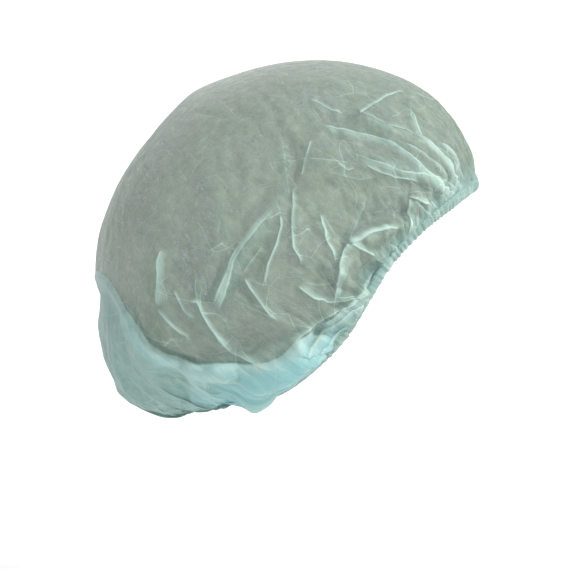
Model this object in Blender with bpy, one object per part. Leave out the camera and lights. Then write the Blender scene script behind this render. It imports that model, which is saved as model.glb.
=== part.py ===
"""A disposable bouffant cap, as worn: a slack sheet of nonwoven cloth drawn into a gathered hem on a ring of elastic.

Metres, +Z up. The wearer faces -Y, and the origin is the inner face of the crown over the top of the head.
The build is one surface, worked out from a few sizes: rings lofted from the hem to the middle of the sheet,
plus the gathers that the elastic draws and the main folds. The hem's casing and its elastic follow the same rings.
"""

import bmesh
import bpy
import numpy as np

# Driving sizes.
CAP_LENGTH = 0.236
CAP_WIDTH = 0.190
CAP_HEIGHT = 0.222
CLOTH_WALL = 0.0012
ELASTIC_WIDTH = 0.0050
ELASTIC_THICKNESS = 0.0010
SEAM_TUCK = 0.0030
CLEARANCE = 0.0003

# Gathers: how many the elastic draws, and how proud they stand in the hem and in the crown above it.
GATHERS = 34
COLUMNS_PER_GATHER = 4
GATHER_HEIGHT = 0.0032
SMALLEST_GATHER = 0.55
HEM_PUCKER = 0.0012
HEM_SCALLOP = 0.0010
UNEVEN_SEED = 7

# Folds: the height and half width that the shares in FOLDS are taken of.
FOLD_HEIGHT = 0.0055
FOLD_WIDTH = 0.0120

# Seen from above: this share wider behind than in front, and this much squarer than an ellipse.
EGG = 0.07
SQUARE = 0.035

# The hem's layers, up from its fold: the elastic, the crown's cut edge, and the mouth of the casing over it.
ELASTIC_LOW = CLOTH_WALL + CLEARANCE
ELASTIC_HIGH = ELASTIC_LOW + ELASTIC_WIDTH
CROWN_EDGE = ELASTIC_HIGH + CLEARANCE
HEM_HEIGHT = CROWN_EDGE + SEAM_TUCK
SLOT = max(CLOTH_WALL, ELASTIC_THICKNESS) + 2 * CLEARANCE
COLUMNS = GATHERS * COLUMNS_PER_GATHER

# Rings of the crown, from the hem to the middle of the sheet. "along" is the share of the way up the sheet.
# Forward places are shares of CAP_LENGTH in front of the origin, drops are shares of CAP_HEIGHT below the top,
# half_width is a share of CAP_WIDTH, and dip says how much of HEM_DIP the ring's sides take.
RING_COLUMNS = ("along", "front", "front_drop", "back", "back_drop", "half_width", "dip")
RINGS = (
    (0.00, 0.395, 0.362, -0.288, 0.914, 0.405, 1.00),
    (0.04, 0.401, 0.318, -0.322, 0.950, 0.434, 0.86),
    (0.10, 0.391, 0.250, -0.380, 0.985, 0.464, 0.58),
    (0.20, 0.338, 0.153, -0.480, 0.968, 0.488, 0.30),
    (0.30, 0.259, 0.078, -0.549, 0.915, 0.494, 0.14),
    (0.42, 0.141, 0.024, -0.584, 0.790, 0.480, 0.05),
    (0.55, 0.005, 0.001, -0.592, 0.640, 0.440, 0.00),
    (0.68, -0.134, 0.014, -0.586, 0.500, 0.365, 0.00),
    (0.80, -0.257, 0.053, -0.545, 0.370, 0.258, 0.00),
    (0.90, -0.351, 0.100, -0.490, 0.275, 0.137, 0.00),
    (1.00, -0.421, 0.184, -0.421, 0.184, 0.000, 0.00),
)

# How far the hem hangs below a straight line from the forehead to the nape, as shares of CAP_HEIGHT,
# by the angle round from the forehead. It passes in front of the ear and under it.
DIP_COLUMNS = ("angle", "dip")
HEM_DIP = (
    (0, 0.000),
    (40, 0.000),
    (62, 0.004),
    (75, 0.024),
    (86, 0.062),
    (98, 0.104),
    (112, 0.122),
    (126, 0.118),
    (142, 0.076),
    (160, 0.020),
    (180, 0.000),
)

# Main folds: ridges from one place on the sheet to another, and hollows where the height is negative.
# Angles go round from the forehead, negative towards the wearer's right. Heights and half widths are shares.
FOLD_COLUMNS = ("angle", "along", "to_angle", "to_along", "height", "half_width")
FOLDS = (
    # The fan of folds that the forehead hem draws on the right.
    (-34, 0.07, -52, 0.36, 0.65, 0.80),
    (-40, 0.09, -27, 0.32, 0.55, 0.80),
    (-47, 0.07, -61, 0.27, 0.45, 0.75),
    (-48, 0.25, -56, 0.43, 0.45, 1.30),
    (-29, 0.34, -46, 0.37, 0.35, 0.90),
    # The star of folds at the right temple.
    (-65, 0.08, -78, 0.155, 0.45, 0.75),
    (-78, 0.155, -91, 0.095, 0.50, 0.75),
    (-77, 0.260, -83, 0.150, 0.40, 0.75),
    # The folds that hang over the right ear.
    (-78, 0.350, -110, 0.285, 0.65, 0.85),
    (-83, 0.320, -98, 0.250, 0.40, 0.75),
    (-79, 0.350, -90, 0.195, 0.40, 0.75),
    (-100, 0.272, -102, 0.145, 0.35, 0.75),
    (-113, 0.330, -117, 0.180, 0.50, 0.85),
    # The pouch behind: its hollow, where the sheet leaves the hair, and its hanging ridges.
    (-117, 0.50, -123, 0.28, 0.55, 1.00),
    (-146, 0.54, -131, 0.35, -0.55, 1.10),
    (-131, 0.35, -128, 0.22, -0.50, 1.00),
    (-140, 0.45, -138, 0.24, 0.60, 1.00),
    (-132, 0.29, -131, 0.12, 0.50, 0.90),
    (-158, 0.40, -160, 0.12, 0.50, 1.20),
    # The roll of cloth under the right ear, the hollow below it, and the lobe and notch of the lower edge.
    (-129, 0.212, -117, 0.128, 0.90, 1.00),
    (-118, 0.132, -101, 0.088, 0.90, 0.90),
    (-126, 0.145, -110, 0.070, -0.45, 0.80),
    (-126, 0.085, -135, 0.085, 0.70, 1.00),
    (-142, 0.060, -140, 0.140, -0.50, 0.90),
    # The left side, finished in the same way.
    (30, 0.07, 46, 0.33, 0.60, 0.80),
    (44, 0.08, 62, 0.24, 0.45, 0.75),
    (38, 0.30, 58, 0.42, 0.40, 1.20),
    (72, 0.08, 80, 0.24, 0.45, 0.75),
    (82, 0.330, 108, 0.285, 0.55, 0.85),
    (95, 0.085, 93, 0.250, 0.40, 0.80),
    (112, 0.120, 120, 0.320, 0.50, 0.90),
    (104, 0.100, 126, 0.160, 0.70, 0.95),
    (124, 0.52, 130, 0.30, 0.55, 1.00),
    (142, 0.48, 136, 0.24, 0.60, 1.00),
    (150, 0.30, 158, 0.12, 0.50, 1.20),
    (138, 0.060, 140, 0.150, -0.45, 0.90),
    # Behind and over the top.
    (176, 0.30, 178, 0.10, 0.50, 1.20),
    (-170, 0.62, -174, 0.36, -0.35, 1.40),
    (8, 0.08, 5, 0.30, 0.45, 0.80),
    (-12, 0.07, -16, 0.26, 0.45, 0.80),
    (18, 0.30, -14, 0.42, 0.30, 1.00),
)
FOLD_SAMPLES = 24
FOLD_END = 0.15

# The rows of the crown's mesh, as shares of the way up the sheet, and where its columns halve in number.
CROWN_ROWS = (0.075, 0.10, 0.13, 0.16, 0.20, 0.24, 0.28, 0.315, 0.35, 0.39, 0.45, 0.53, 0.62, 0.71, 0.80, 0.88, 0.95)
HALVE_AT = (0.39, 0.80)

# The gathers lie closer in some places: slow waves round the hem that swing their angles, in radians.
DRIFT_COLUMNS = ("waves", "swing", "start")
GATHER_DRIFT = ((3, 0.030, 0.0), (7, 0.022, 1.0))

# The flat under the casing's fold, as a share of its depth, and how much of a pucker is left at an edge.
FOLD_FLAT = 0.6
EDGE_PUCKER = 0.5

# Over this stretch of the sheet the gathers and folds grow out of the flat band that the casing holds,
# and over these stretches the gathers die away, the shortest and the longest of them.
FREE_FROM, FREE_AT = 0.04, 0.10
FADE_FROM = 0.12
SHORT_GATHER, LONG_GATHER = 0.22, 0.48

# Step of the small differences that give the sheet's directions.
SMALL = 1e-4


def table(rows, columns):
    """A table's columns by name, as arrays."""
    return dict(zip(columns, np.array(rows, float).T))


def smooth(t):
    """0 below 0, 1 above 1, and an even S between them."""
    t = np.clip(t, 0.0, 1.0)
    return t * t * (3 - 2 * t)


def through(at, x, y):
    """A smooth curve through the points x, y, read at `at`: cubic pieces whose slopes are the neighbours' mean."""
    slope = np.gradient(y, x)
    i = np.clip(np.searchsorted(x, at, side="right") - 1, 0, len(x) - 2)
    step = x[i + 1] - x[i]
    t = (at - x[i]) / step
    a, b = y[i], y[i + 1]
    da, db = slope[i] * step, slope[i + 1] * step
    return a + t * (da + t * (3 * (b - a) - 2 * da - db + t * (2 * (a - b) + da + db)))


def unit(v):
    """The same directions with length one."""
    return v / np.linalg.norm(v, axis=-1, keepdims=True)


RING = table(RINGS, RING_COLUMNS)
DIP = table(HEM_DIP, DIP_COLUMNS)
FOLD = table(FOLDS, FOLD_COLUMNS)
DRIFT = table(GATHER_DRIFT, DRIFT_COLUMNS)


def sheet(angle, along):
    """Places on the smooth sheet, in metres, for an angle round from the forehead and a share of the way up."""
    ring = {name: through(along, RING["along"], RING[name]) for name in RING_COLUMNS[1:]}
    front = np.stack([-ring["front"] * CAP_LENGTH, CLOTH_WALL - ring["front_drop"] * CAP_HEIGHT], -1)
    back = np.stack([-ring["back"] * CAP_LENGTH, CLOTH_WALL - ring["back_drop"] * CAP_HEIGHT], -1)
    middle, reach = (front + back) / 2, (front - back) / 2
    length = np.maximum(np.linalg.norm(reach, axis=-1, keepdims=True), SMALL)
    below = np.stack([-reach[..., 1], reach[..., 0]], -1) / length
    turn = np.abs((np.degrees(angle) + 180) % 360 - 180)
    dip = through(turn, DIP["angle"], DIP["dip"]) * ring["dip"] * CAP_HEIGHT
    forward = (np.cos(angle) - SQUARE * np.cos(3 * angle)) / (1 - SQUARE)
    sideways = (np.sin(angle) + SQUARE * np.sin(3 * angle)) / (1 - SQUARE)
    yz = middle + reach * forward[..., None] + below * dip[..., None]
    x = ring["half_width"] * CAP_WIDTH * sideways * (1 - EGG * forward)
    return np.stack([x, yz[..., 0], yz[..., 1]], -1)


def outward(angle, along):
    """The sheet's outward direction, square to the ways round it and up it."""
    along = np.clip(along, SMALL, 1 - 2 * SMALL)
    around = sheet(angle + SMALL, along) - sheet(angle - SMALL, along)
    up = sheet(angle, along + SMALL) - sheet(angle, along - SMALL)
    return unit(np.cross(around, up))


def gather_sizes():
    """Each gather's own height, as a share, and how far up the sheet it reaches."""
    pick = np.random.default_rng(UNEVEN_SEED)
    return pick.uniform(SMALLEST_GATHER, 1.0, GATHERS), pick.uniform(SHORT_GATHER, LONG_GATHER, GATHERS)


def gather_angle(turn):
    """The angle for a share of the way round the hem."""
    angle = 2 * np.pi * turn
    return angle + (DRIFT["swing"] * np.sin(DRIFT["waves"] * angle[:, None] + DRIFT["start"])).sum(axis=1)


def gather_height(turn, along):
    """How far the gathers lift the sheet: a wave round the hem, nothing inside the casing, fading up the crown."""
    share, reach = gather_sizes()
    nearest = np.rint(turn * GATHERS).astype(int) % GATHERS
    grow = smooth((along - FREE_FROM) / (FREE_AT - FREE_FROM))
    fade = 1 - smooth((along - FADE_FROM) / (reach[nearest] - FADE_FROM))
    return GATHER_HEIGHT * share[nearest] * np.cos(2 * np.pi * GATHERS * turn) * grow * fade


def fold_height(points, along):
    """How far the folds lift the sheet: each one a rounded ridge about its line, sloping off at its ends."""
    t = np.linspace(0.0, 1.0, FOLD_SAMPLES)
    ends = smooth(np.minimum(t, 1 - t) / FOLD_END)
    lift = np.zeros(len(points))
    for i in range(len(FOLDS)):
        angle = np.radians(FOLD["angle"][i] + t * (FOLD["to_angle"][i] - FOLD["angle"][i]))
        line = sheet(angle, FOLD["along"][i] + t * (FOLD["to_along"][i] - FOLD["along"][i]))
        apart = np.linalg.norm(points[:, None] - line[None], axis=-1)
        ridge = smooth(1 - apart / (FOLD["half_width"][i] * FOLD_WIDTH)) * ends
        lift += FOLD["height"][i] * FOLD_HEIGHT * ridge.max(axis=1)
    return lift * smooth((along - FREE_FROM) / (FREE_AT - FREE_FROM))


def crown_row(turn, along):
    """One row of the crown's outer face: the sheet with its gathers and folds."""
    angle, along = gather_angle(turn), np.full_like(turn, along)
    points = sheet(angle, along)
    lift = gather_height(turn, along) + fold_height(points, along)
    return points + outward(angle, along) * lift[:, None]


def hem_directions(angle):
    """The hem's place on the sheet, the way up the band, and the way out of it, square to the hem."""
    start = np.zeros_like(angle)
    place = sheet(angle, start)
    around = unit(sheet(angle + SMALL, start) - sheet(angle - SMALL, start))
    up = sheet(angle, start + FREE_FROM) - place
    up = unit(up - (up * around).sum(-1, keepdims=True) * around)
    return place, up, np.cross(around, up)


def hem_band(up_by, out_by):
    """Rings of points beside the hem, given how far up the band and how far out of it each lies."""
    turn = np.arange(COLUMNS) / COLUMNS
    place, up, out = hem_directions(gather_angle(turn))
    return [place + up * np.reshape(u, (-1, 1)) + out * np.reshape(o, (-1, 1)) for u, o in zip(up_by, out_by)]


def add_rings(mesh, rings):
    """The rings' points, as a list of rows of vertices."""
    return [[mesh.verts.new(point) for point in ring] for ring in rings]


def join_rings(mesh, low, high):
    """Faces between two rings, where the higher one has as many points as the lower one or half as many."""
    step = len(low) // len(high)
    for i, top in enumerate(high):
        after = high[(i + 1) % len(high)]
        first, last = i * step, (i + 1) * step % len(low)
        if step == 1:
            mesh.faces.new((low[first], low[last], after, top))
        else:
            mesh.faces.new((low[first], low[first + 1], top))
            mesh.faces.new((low[first + 1], low[last], after, top))


def finish(mesh, name, material):
    """Make the mesh a shaded object with its material."""
    data = bpy.data.meshes.new(name)
    mesh.to_mesh(data)
    mesh.free()
    data.shade_smooth()
    data.materials.append(material)
    part = bpy.data.objects.new(name, data)
    bpy.context.scene.collection.objects.link(part)
    return part


def swept_round_hem(name, corners, material):
    """A closed section carried round the hem: each corner is its way up the band and its way out of it."""
    mesh = bmesh.new()
    rings = add_rings(mesh, hem_band(*zip(*corners)))
    for i, ring in enumerate(rings):
        join_rings(mesh, ring, rings[(i + 1) % len(rings)])
    bmesh.ops.recalc_face_normals(mesh, faces=mesh.faces)
    return finish(mesh, name, material)


def make_material(name, colour, roughness):
    material = bpy.data.materials.new(name)
    material.use_nodes = True
    shader = material.node_tree.nodes["Principled BSDF"]
    shader.inputs["Base Color"].default_value = (*colour, 1.0)
    shader.inputs["Roughness"].default_value = roughness
    shader.inputs["Metallic"].default_value = 0.0
    return material


def make_crown(material):
    """The sheet of cloth: one wall from its cut edge, held in the casing, to its closed middle."""
    mesh = bmesh.new()
    held = hem_band((CROWN_EDGE, HEM_HEIGHT + 2 * CLEARANCE), (CLOTH_WALL / 2, CLOTH_WALL / 2))
    turn = np.arange(COLUMNS) / COLUMNS
    rows = list(held)
    for along in CROWN_ROWS:
        if along in HALVE_AT:
            turn = turn[::2]
        rows.append(crown_row(turn, along))
    rings = add_rings(mesh, rows)
    for low, high in zip(rings, rings[1:]):
        join_rings(mesh, low, high)
    middle = mesh.verts.new(sheet(np.zeros(1), np.ones(1))[0])
    for i, corner in enumerate(rings[-1]):
        mesh.faces.new((corner, rings[-1][(i + 1) % len(rings[-1])], middle))
    crown = finish(mesh, "crown", material)
    wall = crown.modifiers.new("cloth wall", "SOLIDIFY")
    wall.thickness = CLOTH_WALL
    wall.offset = -1.0
    return crown


def make_casing(material):
    """The hem: cloth folded round the elastic, with the crown's edge in its mouth. It puckers away from both."""
    turn = np.arange(COLUMNS) / COLUMNS
    share, _ = gather_sizes()
    share = share[np.rint(turn * GATHERS).astype(int) % GATHERS]
    crest = share * (1 + np.cos(2 * np.pi * GATHERS * turn)) / 2
    trough = share - crest
    fold = -HEM_SCALLOP * crest
    side = SLOT / 2
    face = side + CLOTH_WALL
    out_pucker = HEM_PUCKER * crest
    in_pucker = HEM_PUCKER * trough
    return swept_round_hem("hem_casing", (
        (HEM_HEIGHT, face + EDGE_PUCKER * out_pucker),
        (CLOTH_WALL, face + out_pucker),
        (fold, FOLD_FLAT * face + EDGE_PUCKER * out_pucker),
        (fold, -FOLD_FLAT * face - EDGE_PUCKER * in_pucker),
        (CLOTH_WALL, -face - in_pucker),
        (HEM_HEIGHT, -face - EDGE_PUCKER * in_pucker),
        (HEM_HEIGHT, -side),
        (CLOTH_WALL, -side),
        (CLOTH_WALL, side),
        (HEM_HEIGHT, side),
    ), material)


def make_elastic(material):
    """The ring of flat elastic that draws the hem in."""
    half = ELASTIC_THICKNESS / 2
    return swept_round_hem("elastic_band", (
        (ELASTIC_LOW, half),
        (ELASTIC_LOW, -half),
        (ELASTIC_HIGH, -half),
        (ELASTIC_HIGH, half),
    ), material)


for old in list(bpy.data.objects):
    bpy.data.objects.remove(old, do_unlink=True)

make_crown(make_material("pale aqua nonwoven", (0.52, 0.70, 0.66), 0.75))
make_casing(make_material("gathered aqua nonwoven", (0.36, 0.64, 0.62), 0.75))
make_elastic(make_material("white elastic", (0.78, 0.82, 0.80), 0.60))
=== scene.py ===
# %% [markdown]
# # A disposable bouffant cap
# The cap is one round sheet of sheer nonwoven cloth, drawn in by a ring of elastic until it bags like a
# mushroom. This lesson dresses the plain solids of that cap. The frame below holds them at their real size,
# in metres, with +Z up, the cap's front towards -Y and the origin inside the crown, at its top.

import bpy
import numpy as np
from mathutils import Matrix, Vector


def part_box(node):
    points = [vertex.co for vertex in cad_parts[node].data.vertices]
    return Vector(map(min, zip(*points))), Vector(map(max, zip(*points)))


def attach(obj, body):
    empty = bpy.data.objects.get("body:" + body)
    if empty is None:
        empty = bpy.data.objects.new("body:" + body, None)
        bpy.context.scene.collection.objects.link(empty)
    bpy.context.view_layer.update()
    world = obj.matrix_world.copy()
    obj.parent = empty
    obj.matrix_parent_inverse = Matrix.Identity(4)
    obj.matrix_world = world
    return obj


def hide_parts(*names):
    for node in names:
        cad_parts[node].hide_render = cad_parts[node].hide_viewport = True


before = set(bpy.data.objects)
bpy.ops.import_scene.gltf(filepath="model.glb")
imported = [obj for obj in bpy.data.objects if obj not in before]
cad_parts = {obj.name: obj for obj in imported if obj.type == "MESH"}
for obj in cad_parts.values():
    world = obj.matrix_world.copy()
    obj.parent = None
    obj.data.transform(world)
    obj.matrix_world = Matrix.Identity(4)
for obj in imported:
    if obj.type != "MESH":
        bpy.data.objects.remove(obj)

bpy.context.view_layer.update()
print("nodes of the frame:", sorted(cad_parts))

# %% [markdown]
# ## Sizes
# Nothing here is measured twice. The crown's box gives the sheet's length, width and height, once the share
# by which the gathers and folds stand proud of the smooth sheet is taken off. The hem's height is the
# elastic's width and the cloth turned up over it. The rim is the strip of the cut that the hem takes.

# %% Sizes of the cap
SMOOTH_SHARE = np.array((0.9724, 1.0035, 0.9899))
crown_low, crown_high = (np.array(corner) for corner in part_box("crown"))
cap_width, cap_length, cap_height = SMOOTH_SHARE * (crown_high - crown_low)

CLOTH_WALL = 0.0012
HEM_HEIGHT = 0.0072
CUT_RADIUS = 0.2505
RIM = 0.020
print(f"smooth sheet: {cap_width:.3f} wide, {cap_length:.3f} long, {cap_height:.3f} high")

# %% [markdown]
# ## Tools for tables and curves
# The cap's form is in short tables, so a few tools read them: a smooth curve through a table's rows, and a
# soft step that most of the shapes below are blended with. The step is given by where it starts and how wide
# it is.


# %% Reading tables
def table(rows, columns):
    """A table's columns by name, as arrays."""
    return dict(zip(columns, np.array(rows, float).T))


def smooth(t):
    """0 below 0, 1 above 1, and an even S between them."""
    t = np.clip(t, 0.0, 1.0)
    return t * t * (3 - 2 * t)


def ramp(value, start, width):
    """0 up to the start, 1 from the start plus the width on, and an even S between them."""
    return smooth((value - start) / width)


def through(at, x, y):
    """A smooth curve through the points x, y, read at `at`: cubic pieces whose slopes are the mean of the
    neighbours' slopes."""
    slope = np.gradient(y, x)
    i = np.clip(np.searchsorted(x, at, side="right") - 1, 0, len(x) - 2)
    step = x[i + 1] - x[i]
    t = (at - x[i]) / step
    a, b = y[i], y[i + 1]
    da, db = slope[i] * step, slope[i + 1] * step
    return a + t * (da + t * (3 * (b - a) - 2 * da - db + t * (2 * (a - b) + da + db)))


def unit(v):
    """The same directions with length one."""
    return v / np.linalg.norm(v, axis=-1, keepdims=True)


def from_front(angle):
    """Degrees from the middle of the front, either way round, from 0 to 180 for any angle."""
    return np.abs((np.degrees(angle) + 180) % 360 - 180)


print("halfway up the soft step:", float(ramp(1.0, 0.0, 2.0)))

# %% [markdown]
# ## The sheet as a function of two parameters
# Every point of the cloth has an `angle`, round from the middle of the front and positive towards +X, and an
# `along`, which is 0 at the hem and 1 at the middle of the sheet. Tilted rings carry the form: each row
# below says where a ring passes in front and behind, as shares of the cap's length and height, and how wide
# it is. Reading the rows through a smooth curve turns eleven rings into a continuous surface, which is
# easier to correct than a sculpted mesh. The second table says how far the hem dips at the sides, by its
# `turn`, the degrees from the front.

# %% Rings of the sheet
RING_COLUMNS = ("along", "front", "front_drop", "back", "back_drop", "half_width", "dip")
RINGS = (
    (0.00, 0.395, 0.362, -0.288, 0.914, 0.405, 1.00),
    (0.04, 0.401, 0.318, -0.322, 0.950, 0.434, 0.86),
    (0.10, 0.391, 0.250, -0.380, 0.985, 0.464, 0.58),
    (0.20, 0.338, 0.153, -0.480, 0.968, 0.488, 0.30),
    (0.30, 0.259, 0.078, -0.549, 0.915, 0.494, 0.14),
    (0.42, 0.141, 0.024, -0.584, 0.790, 0.480, 0.05),
    (0.55, 0.005, 0.001, -0.592, 0.640, 0.440, 0.00),
    (0.68, -0.134, 0.014, -0.586, 0.500, 0.365, 0.00),
    (0.80, -0.257, 0.053, -0.545, 0.370, 0.258, 0.00),
    (0.90, -0.351, 0.100, -0.490, 0.275, 0.137, 0.00),
    (1.00, -0.421, 0.184, -0.421, 0.184, 0.000, 0.00),
)
DIP_COLUMNS = ("turn", "dip")
HEM_DIP = (
    (0, 0.000),
    (40, 0.000),
    (62, 0.004),
    (75, 0.024),
    (86, 0.062),
    (98, 0.104),
    (112, 0.122),
    (126, 0.118),
    (142, 0.076),
    (160, 0.020),
    (180, 0.000),
)
RING = table(RINGS, RING_COLUMNS)
DIP = table(HEM_DIP, DIP_COLUMNS)
print(f"{len(RINGS)} rings from the hem to the middle")

# %% [markdown]
# The oval of a ring is a little fuller at the back than in front, as an egg is, and a little square. The
# outward direction comes from two short steps on the sheet, so no formula has to be worked out by hand.

# %% The smooth sheet
EGG = 0.07
SQUARE = 0.035
SMALL = 1e-4


def sheet(angle, along):
    """Places on the smooth sheet. A ring's middle is halfway between its front and its back, and a point on
    it is the middle, plus the reach times the cosine of the angle, plus the half width times its sine. Both
    waves hold a little of their third harmonic, which squares the oval, and the sides hang by the dip."""
    ring = {name: through(along, RING["along"], RING[name]) for name in RING_COLUMNS[1:]}
    front = np.stack([-ring["front"] * cap_length, CLOTH_WALL - ring["front_drop"] * cap_height], -1)
    back = np.stack([-ring["back"] * cap_length, CLOTH_WALL - ring["back_drop"] * cap_height], -1)
    middle, reach = (front + back) / 2, (front - back) / 2
    length = np.maximum(np.linalg.norm(reach, axis=-1, keepdims=True), SMALL)
    below = np.stack([-reach[..., 1], reach[..., 0]], -1) / length
    dip = through(from_front(angle), DIP["turn"], DIP["dip"]) * ring["dip"] * cap_height
    forward = (np.cos(angle) - SQUARE * np.cos(3 * angle)) / (1 - SQUARE)
    sideways = (np.sin(angle) + SQUARE * np.sin(3 * angle)) / (1 - SQUARE)
    yz = middle + reach * forward[..., None] + below * dip[..., None]
    x = ring["half_width"] * cap_width * sideways * (1 - EGG * forward)
    return np.stack([x, yz[..., 0], yz[..., 1]], -1)


def outward(angle, along):
    """The sheet's outward direction: the cross product of the ways round it and up it, by small steps."""
    along = np.clip(along, SMALL, 1 - 2 * SMALL)
    around = sheet(angle + SMALL, along) - sheet(angle - SMALL, along)
    up = sheet(angle, along + SMALL) - sheet(angle, along - SMALL)
    return unit(np.cross(around, up))


HEM_SAMPLES = 361
hem_line = sheet(np.linspace(0, 2 * np.pi, HEM_SAMPLES), np.zeros(HEM_SAMPLES))
hem_length = np.linalg.norm(np.diff(hem_line, axis=0), axis=1).sum()
print(f"drawn-in hem: {hem_length:.3f} m round, from cloth {2 * np.pi * CUT_RADIUS:.2f} m round")

# %% [markdown]
# ## A grid for a round sheet
# Rings and spokes would meet in a pole of thin triangles at the middle, which cloth simulation dislikes and
# light shows up. A square grid pressed into a disc has even squares everywhere, so it is used here: each
# square ring of the grid becomes a round one. A point's place on the flat disc is kept for good, because it
# is also the cloth's own map, on which the fibres and bond points lie.


# %% Grid and flat cut
def disc_grid(count):
    """Points of a (count + 1) square grid on a disc of radius 1. On the wide quarters the radius is x and the
    angle is 45 degrees times y / x, and on the others x and y change places."""
    side = np.linspace(-1, 1, count + 1)
    a, b = np.meshgrid(side, side, indexing="ij")
    wide = np.abs(a) > np.abs(b)
    radius = np.where(wide, a, b)
    share = np.where(wide, b, a) / np.where(radius == 0, 1, radius)
    turn = np.where(wide, np.pi / 4 * share, np.pi / 2 - np.pi / 4 * share)
    return np.stack([radius * np.cos(turn), radius * np.sin(turn)], -1).reshape(-1, 2)


def grid_faces(count):
    """The grid's quads, wound so that they face out of the cap."""
    index = np.arange((count + 1) ** 2).reshape(count + 1, count + 1)
    corners = (index[:-1, :-1], index[1:, :-1], index[1:, 1:], index[:-1, 1:])
    return np.stack(corners, -1).reshape(-1, 4)


def on_sheet(flat):
    """Angle and along for places on the flat disc, whose rim is already inside the hem."""
    angle = np.arctan2(flat[:, 0], -flat[:, 1])
    radius = np.minimum(np.linalg.norm(flat, axis=1), 1.0)
    return angle, RIM + (1 - RIM) * (1 - radius)


def new_piece(name, points, faces):
    """A shaded mesh object from arrays of points and of faces."""
    mesh = bpy.data.meshes.new(name)
    mesh.from_pydata(points.tolist(), [], faces.tolist())
    mesh.shade_smooth()
    piece = bpy.data.objects.new(name, mesh)
    bpy.context.scene.collection.objects.link(piece)
    return piece


SIM_GRID = 150
flat = disc_grid(SIM_GRID)
angle, along = on_sheet(flat)
print(f"cloth grid: {len(flat)} points")

# %% [markdown]
# ## The start of the cloth: gathers
# A hem of elastic draws in two and a half times its own length of cloth, so the cloth leaves it in pleats.
# Evenly spaced ones look machined. Each wave below has its own height and reach, and two layers of them,
# fine and broad, mix as the fine ones die out higher up the crown.

# %% Gathers
FINE_GATHERS = dict(count=96, height=0.0014, shortest=0.12, longest=0.26, seed=4)
BROAD_GATHERS = dict(count=38, height=0.0022, shortest=0.22, longest=0.46, seed=7)
GATHER_MIDDLE = 0.6
OUT_OF_CASING = (0.026, 0.045)
FADE_FROM = 0.06


def gathers(angle, along, count, height, shortest, longest, seed):
    """A wave round the hem, count times the angle. Each crest has its own share of the height and its own
    reach, grows out of the casing and fades up the crown."""
    pick = np.random.default_rng(seed)
    share, reach = pick.uniform(0.4, 1.0, count), pick.uniform(shortest, longest, count)
    turn = (angle / (2 * np.pi)) % 1
    nearest = np.rint(turn * count).astype(int) % count
    fade = 1 - ramp(along, FADE_FROM, reach[nearest] - FADE_FROM)
    wave = np.cos(2 * np.pi * count * turn) - GATHER_MIDDLE
    return height * share[nearest] * wave * ramp(along, *OUT_OF_CASING) * fade


lift = gathers(angle, along, **FINE_GATHERS) + gathers(angle, along, **BROAD_GATHERS)
print(f"gathers lift the sheet by up to {lift.max() * 1000:.1f} mm")

# %% [markdown]
# Broad folds follow the photo. Each row is a rounded ridge or, with a minus sign, a valley, from one place
# of the sheet to another, with its height and half width as shares of the two sizes above the table.

# %% Broad folds
FOLD_HEIGHT = 0.0055
FOLD_WIDTH = 0.0120
FOLD_COLUMNS = ("angle", "along", "to_angle", "to_along", "height", "half_width")
FOLDS = (
    (-34, 0.07, -52, 0.36, 0.65, 0.80),
    (-40, 0.09, -27, 0.32, 0.55, 0.80),
    (-47, 0.07, -61, 0.27, 0.45, 0.75),
    (-65, 0.08, -78, 0.155, 0.45, 0.75),
    (-78, 0.155, -91, 0.095, 0.50, 0.75),
    (-78, 0.350, -110, 0.285, 0.65, 0.85),
    (-113, 0.330, -117, 0.180, 0.50, 0.85),
    (-117, 0.50, -123, 0.28, 0.55, 1.00),
    (-146, 0.54, -131, 0.35, -0.55, 1.10),
    (-131, 0.35, -128, 0.22, -0.50, 1.00),
    (-140, 0.45, -138, 0.24, 0.60, 1.00),
    (-132, 0.29, -131, 0.12, 0.50, 0.90),
    (-158, 0.40, -160, 0.12, 0.50, 1.20),
    (-129, 0.212, -117, 0.128, 0.90, 1.00),
    (-118, 0.132, -101, 0.088, 0.90, 0.90),
    (-134, 0.050, -125, 0.056, 1.10, 0.80),
    (30, 0.07, 46, 0.33, 0.60, 0.80),
    (44, 0.08, 62, 0.24, 0.45, 0.75),
    (38, 0.30, 58, 0.42, 0.40, 1.20),
    (82, 0.330, 108, 0.285, 0.55, 0.85),
    (112, 0.120, 120, 0.320, 0.50, 0.90),
    (104, 0.100, 126, 0.160, 0.70, 0.95),
    (124, 0.52, 130, 0.30, 0.55, 1.00),
    (142, 0.48, 136, 0.24, 0.60, 1.00),
    (150, 0.30, 158, 0.12, 0.50, 1.20),
    (176, 0.30, 178, 0.10, 0.50, 1.20),
    (8, 0.08, 5, 0.30, 0.45, 0.80),
    (-12, 0.07, -16, 0.26, 0.45, 0.80),
)
FOLD_SAMPLES = 24
FOLD_END = 0.15
FOLDS_FROM_HEM = (0.04, 0.06)
FOLDS_AT_START = 0.8


def line_on_sheet(angles, alongs, count):
    """Points evenly along a line of the smooth sheet that runs through the given angles and alongs."""
    t = np.linspace(0, len(angles) - 1, count)
    at = np.arange(len(angles))
    return sheet(np.radians(np.interp(t, at, angles)), np.interp(t, at, alongs))


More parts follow.
